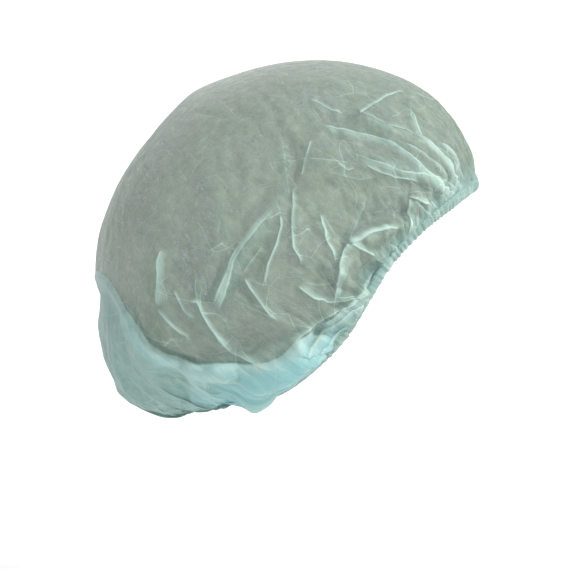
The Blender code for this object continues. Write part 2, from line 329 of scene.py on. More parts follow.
def fold_height(points, along):
    """How far the broad folds lift the sheet: each one a rounded ridge about its line, sloping off at its
    ends, and all of them growing from the hem."""
    t = np.linspace(0.0, 1.0, FOLD_SAMPLES)
    ends = smooth(np.minimum(t, 1 - t) / FOLD_END)
    lift = np.zeros(len(points))
    for row in FOLDS:
        fold = dict(zip(FOLD_COLUMNS, row))
        ends_at = (fold["angle"], fold["to_angle"]), (fold["along"], fold["to_along"])
        line = line_on_sheet(*ends_at, FOLD_SAMPLES)
        apart = np.linalg.norm(points[:, None] - line[None], axis=-1)
        ridge = smooth(1 - apart / (fold["half_width"] * FOLD_WIDTH)) * ends
        lift += fold["height"] * FOLD_HEIGHT * ridge.max(axis=1)
    return lift * ramp(along, *FOLDS_FROM_HEM)


smooth_points = sheet(angle, along)
lift = lift + FOLDS_AT_START * fold_height(smooth_points, along)
print(f"{len(FOLDS)} broad folds")

# %% [markdown]
# Two places differ. Under the roll low at each side the cloth is drawn smooth, and in front it tucks in
# behind the hem, which the photo's outline shows as a small notch.

# %% Start of the cloth
ROLL_FROM, ROLL_TO = (94, 8), (124, 12)
ROLL_CALM = 0.75
ABOVE_ROLL = (0.12, 0.06)
FRONT_TUCK = 0.0040
FRONT_TUCK_TO = (20, 40)
TUCK_IN, TUCK_OUT = (0.022, 0.03), (0.08, 0.13)
turn = from_front(angle)
under_roll = ramp(turn, *ROLL_FROM) * (1 - ramp(turn, *ROLL_TO))
lift = lift * (1 - ROLL_CALM * under_roll * (1 - ramp(along, *ABOVE_ROLL)))
tuck = FRONT_TUCK * (1 - ramp(turn, *FRONT_TUCK_TO))
lift = lift - tuck * ramp(along, *TUCK_IN) * (1 - ramp(along, *TUCK_OUT))
start_points = smooth_points + outward(angle, along) * lift[:, None]
print(f"gathers and folds lift the sheet by up to {lift.max() * 1000:.1f} mm")

# %% [markdown]
# ## Spare cloth
# The gathers above hold only part of the cloth that the elastic draws in. The rest of it is given to the
# simulation as growth: the cloth's edges want to be longer than they start, most near the hem and hardly at
# all over the top, so it buckles into creases of its own. Growth is Blender's shrinking with a minus sign,
# and its vertex group says where the cloth keeps its size.

# %% Growth of the cloth
GROWTH_COLUMNS = ("along", "share")
GROWTH = table((
    (0.00, 0.50),
    (0.06, 1.00),
    (0.14, 0.80),
    (0.26, 0.45),
    (0.42, 0.22),
    (0.60, 0.10),
    (1.00, 0.04),
), GROWTH_COLUMNS)
MOST_GROWTH = 0.18
BACK_GROWTH = 0.62
FRONT_GROWTH = 0.55
BACK_FROM, FRONT_TO = (95, 45), (35, 35)
GROWTH_LEVELS = 50
towards_back = ramp(turn, *BACK_FROM)
in_front = 1 - ramp(turn, *FRONT_TO)
growth = np.interp(along, GROWTH["along"], GROWTH["share"])
growth = growth * (1 - (1 - BACK_GROWTH) * towards_back) * (1 - (1 - FRONT_GROWTH) * in_front)
kept_level = np.rint(GROWTH_LEVELS * (1 - growth)).astype(int)
print(f"growth: {100 * MOST_GROWTH * growth.mean():.1f} % on average")

# %% [markdown]
# ## Letting the cloth settle
# The rim is pinned inside the hem. A form just inside the sheet keeps the cloth full, and is thrown away
# afterwards. The cloth settles in about twenty steps, and its mesh is then taken as it is, with no Cloth
# modifier left on it.

# %% Cloth simulation
FORM_GRID = 80
FORM_GAP = 0.005
PINNED_TO = 0.027
SIM_STEPS = 22


def settle(points, faces, along, kept_level):
    """The points after the cloth has settled over its form."""
    cloth = new_piece("cloth", points, faces)
    keeps = cloth.vertex_groups.new(name="keeps")
    for level in range(GROWTH_LEVELS + 1):
        keeps.add(np.flatnonzero(kept_level == level).tolist(), level / GROWTH_LEVELS, "REPLACE")
    pin = cloth.vertex_groups.new(name="pin")
    pin.add(np.flatnonzero(along < PINNED_TO).tolist(), 1.0, "REPLACE")
    form_angle, form_along = on_sheet(disc_grid(FORM_GRID))
    form_points = sheet(form_angle, form_along) - FORM_GAP * outward(form_angle, form_along)
    form = new_piece("form", form_points, grid_faces(FORM_GRID))
    form.modifiers.new("form", "COLLISION")
    form.collision.thickness_outer = 0.002
    form.collision.thickness_inner = 0.004
    form.collision.cloth_friction = 8
    modifier = cloth.modifiers.new("cloth", "CLOTH")
    settings = modifier.settings
    settings.quality = 7
    settings.mass = 0.02
    settings.tension_stiffness = settings.compression_stiffness = 40
    settings.shear_stiffness = 20
    settings.bending_stiffness = 0.03
    settings.tension_damping = settings.compression_damping = settings.shear_damping = 10
    settings.bending_damping = 0.5
    settings.air_damping = 3
    settings.vertex_group_mass = "pin"
    settings.vertex_group_shrink = "keeps"
    settings.shrink_min, settings.shrink_max = -MOST_GROWTH, 0
    settings.effector_weights.gravity = 0.3
    modifier.collision_settings.distance_min = 0.001
    modifier.collision_settings.collision_quality = 2
    modifier.collision_settings.use_self_collision = False
    modifier.point_cache.frame_start, modifier.point_cache.frame_end = 1, SIM_STEPS
    for step in range(1, SIM_STEPS + 1):
        bpy.context.scene.frame_set(step)
    settled = cloth.evaluated_get(bpy.context.evaluated_depsgraph_get())
    found = np.empty(len(points) * 3)
    settled.data.vertices.foreach_get("co", found)
    bpy.data.objects.remove(cloth)
    bpy.data.objects.remove(form)
    bpy.context.scene.frame_set(1)
    return found.reshape(-1, 3)


cap_faces = grid_faces(SIM_GRID)
cap_points = settle(start_points, cap_faces, along, kept_level)
moved = np.linalg.norm(cap_points - start_points, axis=1)
print(f"the cloth moved {moved.mean() * 1000:.1f} mm on average")

# %% [markdown]
# ## Keeping the form
# The real cap is held in shape from inside. Here the new length makes the cloth drift out as a whole besides
# creasing it. A blur over the grid finds that slow drift, and taking most of it off leaves the creases on
# the form of the sheet.

# %% Take the drift off
DRIFT_BLUR, BLUR_PASSES = 7, 3
DRIFT_KEPT = 0.05
DRIFT_FROM = (0.04, 0.10)


def blurred(values, passes, reach):
    """Values on the square grid, averaged over reach cells each way, again and again. Edges repeat
    themselves."""
    count = SIM_GRID + 1
    values = values.reshape(count, count, -1)
    for _ in range(passes):
        for axis in (0, 1):
            margins = [(reach, reach) if a == axis else (0, 0) for a in range(3)]
            wide = np.pad(values, margins, mode="edge")
            total = np.cumsum(np.insert(wide, 0, 0, axis=axis), axis=axis)
            ends = np.take(total, np.arange(2 * reach + 1, count + 2 * reach + 1), axis=axis)
            values = (ends - np.take(total, np.arange(count), axis=axis)) / (2 * reach + 1)
    return values.reshape(count * count, -1)


drift = blurred(cap_points - start_points, BLUR_PASSES, DRIFT_BLUR)
drift = drift * ramp(along, *DRIFT_FROM)[:, None]
cap_points = cap_points - (1 - DRIFT_KEPT) * drift
print(f"drift taken off: up to {np.linalg.norm(drift, axis=1).max() * 1000:.1f} mm")

# %% [markdown]
# ## Finer cloth
# One level of subdivision rounds the simulated folds. It is applied at once, because the creases that come
# next are pressed into the finer mesh. The flat place of each point rides along as an attribute.


# %% Subdivide the settled cloth
def subdivided(piece):
    """The piece's points and faces after one Subdivision Surface, with its flat places."""
    modifier = piece.modifiers.new("finer", "SUBSURF")
    modifier.levels = modifier.render_levels = 1
    finer = bpy.data.meshes.new_from_object(piece.evaluated_get(bpy.context.evaluated_depsgraph_get()))
    count = len(finer.vertices)
    points, normals, flat = np.empty(count * 3), np.empty(count * 3), np.empty(count * 3)
    faces = np.empty(len(finer.loops), int)
    finer.vertices.foreach_get("co", points)
    finer.vertices.foreach_get("normal", normals)
    finer.attributes["flat"].data.foreach_get("vector", flat)
    finer.loops.foreach_get("vertex_index", faces)
    bpy.data.objects.remove(piece)
    return points.reshape(-1, 3), normals.reshape(-1, 3), flat.reshape(-1, 3)[:, :2], faces.reshape(-1, 4)


coarse = new_piece("coarse", cap_points, cap_faces)
flat_attribute = coarse.data.attributes.new("flat", "FLOAT_VECTOR", "POINT")
flat_attribute.data.foreach_set("vector", np.pad(flat, ((0, 0), (0, 1))).ravel())
crown_points, crown_normals, crown_flat, crown_faces = subdivided(coarse)
crown_angle, crown_along = on_sheet(crown_flat)
crown_smooth = sheet(crown_angle, crown_along)
print(f"crown: {len(crown_points)} points, {2 * len(crown_faces)} triangles")

# %% [markdown]
# ## Creases
# Nonwoven cloth takes creases like paper: thin straight ridges with flat cloth between them. Each row below
# is one of them over the sheet. It starts at the hem or at a point where several meet, and thins out towards
# its end. On its left the cloth lies double for the width of a band, which shows as a paler strip with a
# crisp edge. The rows follow the near side of the photo, line by line.

# %% Crease lines
CREASES = (
    # strength, band in mm, (angle, along) points from the crease's start to its end
    (1.00, 4.0, ((-34, 0.008), (-44, 0.064), (-48, 0.103), (-50, 0.146), (-50, 0.194),
        (-51, 0.231), (-52, 0.264))),
    (0.70, 1.5, ((-41, 0.068), (-44, 0.122), (-46, 0.168), (-47, 0.204), (-48, 0.239))),
    (0.85, 4.0, ((-31, 0.026), (-38, 0.085), (-40, 0.140), (-40, 0.192), (-38, 0.235),
        (-34, 0.275), (-30, 0.301))),
    (0.50, 3.0, ((-29, 0.048), (-34, 0.103), (-36, 0.146), (-34, 0.176))),
    (0.80, 1.0, ((-50, 0.359), (-46, 0.358), (-41, 0.350), (-35, 0.340), (-29, 0.326), (-26, 0.311))),
    (0.60, 2.0, ((-52, 0.485), (-52, 0.445), (-52, 0.413), (-51, 0.384))),
    (0.50, 1.0, ((-66, 0.309), (-66, 0.276), (-64, 0.266))),
    (0.60, 3.0, ((-62, 0.285), (-62, 0.255), (-61, 0.224), (-59, 0.185), (-55, 0.149), (-51, 0.108))),
    (0.80, 1.5, ((-59, 0.126), (-56, 0.086), (-52, 0.040))),
    (0.80, 3.0, ((-59, 0.122), (-62, 0.090), (-66, 0.036))),
    (0.40, 4.0, ((-59, 0.126), (-60, 0.159), (-63, 0.192), (-66, 0.210))),
    (1.00, 1.0, ((-79, 0.154), (-77, 0.144), (-74, 0.132), (-70, 0.108), (-66, 0.080))),
    (1.00, 3.0, ((-79, 0.154), (-78, 0.122), (-77, 0.084), (-76, 0.034), (-76, 0.000))),
    (1.00, 2.0, ((-79, 0.154), (-81, 0.152), (-84, 0.140), (-87, 0.119), (-90, 0.104), (-92, 0.095))),
    (0.50, 3.0, ((-79, 0.154), (-75, 0.166), (-70, 0.185), (-67, 0.206))),
    (0.90, 1.5, ((-78, 0.256), (-80, 0.229), (-82, 0.196), (-83, 0.171), (-85, 0.139))),
    (0.40, 1.0, ((-78, 0.250), (-79, 0.220), (-80, 0.184))),
    (0.60, 1.0, ((-64, 0.401), (-70, 0.374), (-73, 0.354), (-76, 0.341))),
    (0.90, 1.5, ((-77, 0.348), (-81, 0.309), (-85, 0.274), (-88, 0.244), (-89, 0.214), (-90, 0.198))),
    (1.00, 3.5, ((-111, 0.262), (-106, 0.283), (-102, 0.304), (-99, 0.322), (-96, 0.329),
        (-91, 0.336), (-87, 0.339), (-81, 0.340))),
    (0.90, 1.0, ((-96, 0.339), (-99, 0.332), (-101, 0.318), (-106, 0.301), (-111, 0.279))),
    (0.90, 1.0, ((-84, 0.325), (-86, 0.299), (-90, 0.276), (-94, 0.262), (-97, 0.244), (-100, 0.231))),
    (0.40, 1.0, ((-92, 0.298), (-97, 0.294), (-100, 0.288))),
    (0.90, 2.0, ((-100, 0.283), (-101, 0.249), (-102, 0.214), (-103, 0.180), (-103, 0.149))),
    (0.50, 1.0, ((-82, 0.246), (-85, 0.255), (-88, 0.272))),
    (0.80, 3.0, ((-94, 0.184), (-94, 0.158), (-94, 0.135), (-93, 0.112), (-92, 0.089))),
    (0.40, 1.0, ((-93, 0.178), (-91, 0.146), (-88, 0.118))),
    (0.50, 1.0, ((-98, 0.374), (-101, 0.381), (-104, 0.388))),
    (0.90, 2.0, ((-114, 0.331), (-112, 0.314), (-113, 0.288), (-114, 0.258), (-115, 0.230),
        (-116, 0.201), (-117, 0.171))),
    (0.50, 4.0, ((-109, 0.361), (-111, 0.336), (-112, 0.316))),
    (0.80, 5.0, ((-114, 0.481), (-117, 0.464), (-120, 0.428), (-122, 0.392), (-123, 0.376))),
    (0.80, 1.0, ((-123, 0.376), (-122, 0.349), (-121, 0.310), (-120, 0.278), (-121, 0.256))),
    (0.70, 1.0, ((-116, 0.381), (-116, 0.348), (-116, 0.316), (-115, 0.283))),
    (0.40, 1.0, ((-128, 0.295), (-124, 0.296), (-122, 0.279))),
    (0.70, 2.0, ((-88, 0.030), (-91, 0.049), (-95, 0.062), (-100, 0.071), (-105, 0.075), (-110, 0.072))),
    (0.80, 1.0, ((-95, 0.038), (-98, 0.041), (-101, 0.045), (-106, 0.056), (-110, 0.059))),
    (0.70, 1.0, ((-42, 0.008), (-45, 0.041), (-47, 0.069))),
    (0.60, 1.0, ((-48, 0.015), (-52, 0.055), (-53, 0.079))),
    (0.60, 1.0, ((-54, 0.022), (-57, 0.075), (-59, 0.112))),
    (0.50, 1.0, ((-64, 0.019), (-61, 0.044), (-60, 0.084))),
    (0.60, 1.0, ((-70, 0.004), (-71, 0.054), (-72, 0.081))),
    (0.50, 4.0, ((-130, 0.261), (-133, 0.194), (-134, 0.154))),
    (0.80, 6.0, ((-50, 0.222), (-52, 0.278), (-56, 0.345), (-60, 0.429))),
    (0.60, 4.0, ((-35, 0.032), (-48, 0.114), (-56, 0.180), (-60, 0.256), (-62, 0.321))),
    (0.35, 2.0, ((-70, 0.316), (-66, 0.240), (-61, 0.206))),
    (0.35, 2.0, ((-64, 0.050), (-66, 0.132), (-65, 0.202))),
    (0.50, 6.0, ((-136, 0.076), (-132, 0.165), (-130, 0.271), (-133, 0.410), (-141, 0.521))),
    (0.50, 2.0, ((-127, 0.196), (-124, 0.134), (-122, 0.081), (-118, 0.065))),
    (0.60, 2.0, ((-128, 0.109), (-130, 0.066), (-126, 0.042), (-118, 0.054))),
    (0.60, 3.0, ((-108, 0.103), (-102, 0.103), (-96, 0.092), (-90, 0.059), (-82, 0.028))),
    (0.60, 4.0, ((-94, 0.118), (-90, 0.079), (-84, 0.022))),
    (0.50, 2.0, ((-48, 0.370), (-47, 0.301), (-42, 0.250), (-40, 0.206))),
    (0.40, 1.0, ((-26, 0.321), (-19, 0.270), (-4, 0.211))),
    (0.60, 3.0, ((-115, 0.239), (-117, 0.173), (-116, 0.128), (-114, 0.088))),
)
CREASE_SAMPLES = 40
print(f"{len(CREASES)} creases drawn line by line")

# %% [markdown]
# Nothing shows the far side, so it gets the near side's rows turned over. Each is moved a little and made
# weaker, and one in three is left out, so that the sides don't mirror each other. At the back, and faintly
# between the drawn lines of the near side, more creases fan out in twos to fours from hubs low on the sheet.

# %% More crease lines
HUB_ALONGS = (0.034, 0.034, 0.14, 0.26)
WIDEST_SWING = 20
RISES = (0.08, 0.24)
BANDS = (0.8, 3.5)
TURNED_STRENGTH = 0.7
BACK_CREASES = dict(hubs=6, seed=11, from_angle=140, to_angle=200, strongest=0.6)
NEAR_CREASES = dict(hubs=12, seed=5, from_angle=-150, to_angle=-22, strongest=0.4)


def seeded_creases(hubs, seed, from_angle, to_angle, strongest):
    """Crease rows between two angles, fanning out in twos to fours from hubs that lie low on the sheet."""
    pick = np.random.default_rng(seed)
    rows = []
    for _ in range(hubs):
        first = pick.uniform(from_angle, to_angle)
        low = pick.choice(HUB_ALONGS) + pick.uniform(0, 0.05)
        for swing in pick.uniform(-WIDEST_SWING, WIDEST_SWING, pick.integers(2, 5)):
            rise = pick.uniform(*RISES)
            half_way = (first + swing / 2 + pick.uniform(-2, 2), low + rise / 2)
            at = ((first, low), half_way, (first + swing, low + rise))
            rows.append((pick.uniform(0.35, 1.0) * strongest, pick.uniform(*BANDS), at))
    return rows


def turned_over(rows, seed):
    """The near side's rows laid on the far side: each a little moved and weaker, and one in three left
    out."""
    pick = np.random.default_rng(seed)
    found = []
    for strength, band, at in rows:
        lot, shift, rise = pick.uniform(1, 9), pick.uniform(-7, 7), pick.uniform(-0.01, 0.03)
        if lot < 6:
            moved = tuple((shift - angle, along + rise) for angle, along in at)
            found.append((TURNED_STRENGTH * strength, band, moved))
    return found


crease_rows = list(CREASES) + turned_over(CREASES, seed=3)
crease_rows += seeded_creases(**BACK_CREASES) + seeded_creases(**NEAR_CREASES)
print(f"{len(crease_rows)} creases in all")

# %% [markdown]
# A crease is pressed in twice. In the mesh it is a low tent with a steep side and a long one. For the
# finish, every point also keeps its distance from the crease, so that the line can be drawn finer than the
# mesh. Creases that come near each other go into different sets, because a point can keep only one distance
# in each set.

# %% Pressing the creases in
CREASE_SETS = 9
CREASE_HEIGHT = 0.0020
STEEP_SIDE = 0.0036
LONG_SIDE = 0.0085
TENT_TIP = 0.0020
TENT_REACH = 0.0120
LINE_REACH = 0.0062
LINE_FADE = 0.001
LINE_MARGIN = 0.0020
NO_STRENGTH = 0.01
ROOTED_BELOW = 0.07
ROOTED_TAPER, FREE_TAPER, END_TAPER = 0.04, 0.12, 0.24


def beside(points, normals, line, reach):
    """The points near a line: which they are, how far they lie to its left, signed, and how far along it they
    are, from 0 to 1. The distance is to the nearest place on the nearest stretch of the line."""
    near = np.flatnonzero(((points > line.min(0) - reach) & (points < line.max(0) + reach)).all(axis=1))
    stretch = np.diff(line, axis=0)
    offset = points[near, None] - line[None, :-1]
    share = np.clip((offset * stretch).sum(-1) / (stretch ** 2).sum(-1), 0, 1)
    offset = offset - share[..., None] * stretch
    apart = np.linalg.norm(offset, axis=-1)
    nearest = apart.argmin(axis=1)
    pick = np.arange(len(near))
    left = (offset[pick, nearest] * np.cross(normals[near], stretch[nearest])).sum(axis=1)
    aside = np.where(left > 0, 1, -1) * apart[pick, nearest]
    return near, aside, (nearest + share[pick, nearest]) / len(stretch)


def press_creases(points, normals, rows):
    """The lift of all creases, and for each set of creases three numbers a point: how far it lies to the left
    of its nearest crease in mm, that crease's strength there, and its band. A tent falls off evenly from its
    line to the side's width, with a rounded tip, and a crease whose start is shared or low tapers faster."""
    lift = np.zeros(len(points))
    sets = np.zeros((CREASE_SETS, len(points), 3))
    sets[..., 0] = 1000 * TENT_REACH
    starts = [at[0] for _, _, at in rows]
    for strength, band, at in rows:
        line = line_on_sheet(*zip(*at), CREASE_SAMPLES)
        near, aside, share = beside(points, normals, line, TENT_REACH)
        rooted = at[0][1] < ROOTED_BELOW or starts.count(at[0]) > 1
        start_taper = ROOTED_TAPER if rooted else FREE_TAPER
        power = strength * ramp(share, 0, start_taper) * ramp(1 - share, 0, END_TAPER)
        side = np.where(aside > 0, LONG_SIDE, STEEP_SIDE)
        tent = np.clip(1 - (np.hypot(aside, TENT_TIP) - TENT_TIP) / side, 0, 1)
        lift[near] = np.maximum(lift[near], CREASE_HEIGHT * power * tent)
        power = power * ramp(LINE_REACH - np.abs(aside), 0, LINE_FADE)
        close = np.abs(aside) < LINE_REACH + LINE_MARGIN
        clear = np.flatnonzero(sets[:, near[close & (power > 0)], 1].max(axis=1) < NO_STRENGTH)
        if len(clear):
            row = np.stack([1000 * aside, power, np.full(len(near), band)], -1)
            sets[clear[0], near[close]] = row[close]
        else:
            print("no set left for the crease at", at[0])
    return lift, sets


sheet_normals = outward(crown_angle, crown_along)
off_sheet = ((crown_points - crown_smooth) * sheet_normals).sum(axis=1)
pressed_points = crown_points - sheet_normals * off_sheet[:, None]
crease_lift, crease_sets = press_creases(pressed_points, sheet_normals, crease_rows)
print(f"sets in use: {(crease_sets[..., 1].max(axis=1) > 0).sum()}")

# %% [markdown]
# ## The pouch at the back
# At the back the loose cloth folds down over itself into a pouch, whose upper edge is a clear line: above it
# the cloth is one layer, and below it the cloth is double and bulges. The table gives that edge for both
# sides.

# %% Pouch edge
POUCH_EDGE = table((
    (72, 0.028),
    (85, 0.055),
    (95, 0.078),
    (104, 0.100),
    (109, 0.110),
    (114, 0.100),
    (117, 0.134),
    (120, 0.175),
    (125, 0.210),
    (129, 0.235),
    (130, 0.320),
    (132, 0.380),
    (136, 0.440),
    (145, 0.544),
    (160, 0.590),
    (180, 0.620),
), ("turn", "along"))
CORNER_STEPS = (-4, -2, 0, 2, 4)
FAR_EDGE = 0.92
POUCH_REACH = 0.020
EDGE_ENDS = (-72, -288)
EDGE_STEPS, EDGE_PIECE = 240, 20


def pouch_edge(angle):
    """Where the pouch's edge runs, for any angle: the mean of five readings of the table, which rounds its
    corners, a little lower on the far side."""
    turn = from_front(angle)
    far = 1 - (1 - FAR_EDGE) * smooth(0.5 + np.sin(angle))
    readings = [np.interp(turn + step, POUCH_EDGE["turn"], POUCH_EDGE["along"]) for step in CORNER_STEPS]
    return np.mean(readings, axis=0) * far


def pouch_depth(points, normals, angle, along):
    """How far inside the pouch's edge each point lies, signed, and held at the reach. The edge runs round the
    back from the right side to the left, so the pouch lies on its left. It is measured piece by piece,
    because the whole of it against every point would take a great deal of memory."""
    round_back = np.radians(np.linspace(*EDGE_ENDS, EDGE_STEPS + 1))
    line = sheet(round_back, pouch_edge(round_back))
    depth = np.where(along < pouch_edge(angle), POUCH_REACH, -POUCH_REACH)
    for first in range(0, EDGE_STEPS, EDGE_PIECE):
        near, aside, _ = beside(points, normals, line[first:first + EDGE_PIECE + 1], POUCH_REACH)
        closer = np.abs(aside) < np.abs(depth[near])
        depth[near[closer]] = aside[closer]
    return depth


pouch = pouch_depth(pressed_points, sheet_normals, crown_angle, crown_along)
print(f"pouch: {(pouch > 0).mean() * 100:.0f} % of the sheet")

# %% [markdown]
# The edge swells into a lip, which dies out at the back. Low at each side the fold turns into a thick roll
# along the hem, a half round across its width. The rest of the pouch is tucked in a little, so that the lip
# stands over it. Pairs of numbers are where a soft step starts and how wide it is.

# %% Lip and roll
POUCH_LIP = 0.0026
LIP_RISE, LIP_FALL = (-0.0008, 0.0036), (0.003, 0.008)
LIP_FROM, LIP_BEHIND, LIP_LOST = (96, 12), (138, 22), 0.8
POUCH_TUCK = 0.0034
TUCK_DEPTH, TUCK_FROM = (0.002, 0.012), (112, 20)
ROLL_HEIGHT = 0.0065
ROLL_WIDTH = 0.017
SIDE_FROM, SIDE_TO = (97, 12), (118, 14)
CASING_EDGE = (0.028, 0.03)


def pouch_lift(pouch, turn):
    """The lift of the lip, less the tuck of the rest of the pouch, and of the roll, which takes the place of
    both at the side: the roll's height times the square root of one less its place across, squared."""
    lip = POUCH_LIP * ramp(pouch, *LIP_RISE) * (1 - ramp(pouch, *LIP_FALL))
    lip = lip * ramp(turn, *LIP_FROM) * (1 - LIP_LOST * ramp(turn, *LIP_BEHIND))
    tuck = POUCH_TUCK * ramp(pouch, *TUCK_DEPTH) * ramp(turn, *TUCK_FROM)
    across = np.clip(2 * pouch / ROLL_WIDTH - 1, -1, 1)
    roll = ROLL_HEIGHT * np.sqrt(1 - across ** 2)
    at_side = ramp(turn, *SIDE_FROM) * (1 - ramp(turn, *SIDE_TO))
    return (lip - tuck) * (1 - at_side) + roll * at_side


crown_turn = from_front(crown_angle)
free = ramp(crown_along, *CASING_EDGE)
bulge = pouch_lift(pouch, crown_turn)
settled_points = crown_points
crown_points = crown_points + crown_normals * ((crease_lift + bulge) * free)[:, None]
print(f"lip and roll stand up to {bulge.max() * 1000:.1f} mm proud")

# %% [markdown]
# Two small shapes finish the near side: a gap in the middle of the side, where the roll parts from the
# creases before it, and behind it a lobe of slack cloth, which hangs a little over the hem.

# %% Gap and lobe
GAP_ANGLES, GAP_ALONGS = (-104.5, -99.0), (0.083, 0.080)
GAP_WIDTH = 0.0050
GAP_DEPTH = 0.0060
LOBE_AT = (np.radians(-129.0), np.array(0.062))
LOBE_RADIUS = 0.017
LOBE_HEIGHT = 0.0036
LOBE_DROP = 0.0046
gap_line = line_on_sheet(GAP_ANGLES, GAP_ALONGS, FOLD_SAMPLES)
near_gap, from_gap, _ = beside(pressed_points, sheet_normals, gap_line, GAP_WIDTH)
gap = np.zeros(len(crown_points))
gap[near_gap] = smooth(1 - np.abs(from_gap) / GAP_WIDTH)
lobe = free * smooth(1 - np.linalg.norm(pressed_points - sheet(*LOBE_AT), axis=1) / LOBE_RADIUS)
lobe_way = crown_normals * LOBE_HEIGHT + np.array((0, 0, -LOBE_DROP))
crown_points = crown_points - crown_normals * (GAP_DEPTH * gap)[:, None] + lobe_way * lobe[:, None]
print(f"the lobe hangs {1000 * LOBE_DROP:.1f} mm lower than the cloth round it")

# %% [markdown]
# ## What the finish needs to know
# A finish can only read what its piece carries: a map of the flat cut in metres, and numbers at each point.
# One of them is how sharply the cloth bends, which compares each point with the middle of its neighbours. It
# is positive on a crest and negative in a furrow. The finish paints shade into the furrows and a paler top on
# the crests, partly as denser cloth and partly as a painted highlight.


# %% Maps and numbers on a piece
def add_map(piece, name, places):
    """A UV map from one place for each point."""
    mesh = piece.data
    corner = np.empty(len(mesh.loops), int)
    mesh.loops.foreach_get("vertex_index", corner)
    mesh.uv_layers.new(name=name).data.foreach_set("uv", places[corner].ravel())


def add_attribute(piece, name, values):
    """A number or three for each point, under a name that a material can read."""
    kind, key = ("FLOAT", "value") if values.ndim == 1 else ("FLOAT_VECTOR", "vector")
    attribute = piece.data.attributes.new(name, kind, "POINT")
    attribute.data.foreach_set(key, values.astype(np.float32).ravel())


def sharpness(points, normals, faces):
    """How far each point stands out from the middle of its neighbours, in mm."""
    ends_a, ends_b = faces.ravel(), np.roll(faces, -1, axis=1).ravel()
    both, other = np.concatenate([ends_a, ends_b]), np.concatenate([ends_b, ends_a])
    count = np.bincount(both, minlength=len(points))
    middle = np.stack([np.bincount(both, points[other, k], len(points)) / count for k in range(3)], -1)
    return 1000 * ((points - middle) * normals).sum(axis=1)


# The gap counts as a furrow, so the finish paints shade into it.
GAP_SHADE = 0.3
fold = sharpness(settled_points, crown_normals, crown_faces) * free - GAP_SHADE * gap
print("fold at the 2nd, 50th and 98th of a hundred points:", np.percentile(fold, (2, 50, 98)).round(3), "mm")

# %% [markdown]
# ## The crown as a piece
# Besides its map, the creases and `fold`, the crown carries four numbers: `pouch`, the depth inside the
# pouch's edge, `bunched`, how bunched the cloth is towards the hem, `laid`, how high a broad fold stands,
# and `roll`, where several layers lie on each other low on the sheet and along the lip, and the colour is
# bluer.

# %% Crown piece
BUNCHED_TO = (0.03, 0.07)
BLUE_FROM = (90, 14)
BLUE_ALONG, BLUE_TO = (0.10, 0.14), (130, 24)
LIP_DEPTH, LIP_TO, LIP_BLUE = (0.009, 0.010), (126, 22), 0.7


def blueness(pouch, turn, along):
    """Where layers lie on each other, from 0 to 1: low on the sheet, or, by a share, along the lip."""
    low = (1 - ramp(along, *BLUE_ALONG)) * (1 - ramp(turn, *BLUE_TO))
    near_lip = (1 - ramp(pouch, *LIP_DEPTH)) * (1 - ramp(turn, *LIP_TO))
    return np.maximum(low, LIP_BLUE * near_lip) * ramp(turn, *BLUE_FROM)


crown = new_piece("crown_cloth", crown_points, crown_faces)
add_map(crown, "cut", crown_flat * CUT_RADIUS * (1 - RIM))
for place, crease_set in enumerate(crease_sets):
    add_attribute(crown, f"crease_{place}", crease_set)
add_attribute(crown, "pouch", 1000 * pouch)
add_attribute(crown, "bunched", 1 - ramp(crown_along, *BUNCHED_TO))
add_attribute(crown, "roll", blueness(pouch, crown_turn, crown_along))
add_attribute(crown, "fold", fold)
add_attribute(crown, "laid", fold_height(pressed_points, crown_along) / FOLD_HEIGHT)
print("crown area:", round(sum(face.area for face in crown.data.polygons), 4), "square metres")

# %% [markdown]
# ## The hem
# The hem is a strip of the same cloth folded over the elastic and puckered by it. The puckers run across it
# and are never quite even, so their wave runs fast and slow by turns, and deep and shallow too.

# %% Puckers
# count round the hem, share, phase
PUCKERS = ((119, 0.60, 0.0), (163, 0.55, 1.3), (227, 0.35, 2.1))
# how much the pace swings, how many times round the hem, and its phase in phases of the wave
PACE_SWINGS = ((2.6, 7, 1), (1.9, 17, 2))
PUCKER_DEPTH = 0.62
# how much the depth swings, how many times round the hem, phase
DEPTH_SWINGS = ((0.24, 5, 2), (0.14, 13, 0))


def pucker(angle):
    """The puckers' wave, from 0 to 1: three cosines of different counts, each of which runs fast and slow by
    turns. Where they fall together a pucker is deep, and where they don't the band is nearly flat."""
    wave = 0
    for count, share, phase in PUCKERS:
        pace = count * angle
        for amount, waves, phases in PACE_SWINGS:
            pace = pace + amount * np.sin(waves * angle + phases * phase)
        wave = wave + share * np.cos(pace + phase)
    depth = PUCKER_DEPTH
    for amount, waves, phase in DEPTH_SWINGS:
        depth = depth + amount * np.sin(waves * angle + phase)
    return np.clip(0.5 + 0.5 * depth * wave, 0, 1)


print("puckers round the hem, by wave:", [count for count, _, _ in PUCKERS])

# %% [markdown]
# The band's section is a flat oval, pinched at the top where the crown's cloth goes in, and it is carried
# round the hem line. The thread holds the outer face down where it runs, and the lower edge is scalloped by
# the puckers.

# %% Hem band
HEM_COLUMNS = 1800
HEM_ROWS = 24
HEM_FACE = 0.0022
HEM_LOOK_UP = 0.04
PUCKER_HEIGHT = 0.0012
INNER_SHARE = 0.6
THREAD_HOLD, THREAD_AT, THREAD_SPREAD = 0.55, 0.80, 0.10
PINCH, PINCH_FROM = 0.55, (0.75, 0.25)
SCALLOP_BELOW, SCALLOP_ABOVE = 0.0005, 0.0006


def hem_directions(angle):
    """The hem's place on the sheet, the way up the band, and the way out of it, square to the hem."""
    start = np.zeros_like(angle)
    place = sheet(angle, start)
    around = unit(sheet(angle + SMALL, start) - sheet(angle - SMALL, start))
    up = sheet(angle, start + HEM_LOOK_UP) - place
    up = unit(up - (up * around).sum(-1, keepdims=True) * around)
    return place, up, np.cross(around, up)


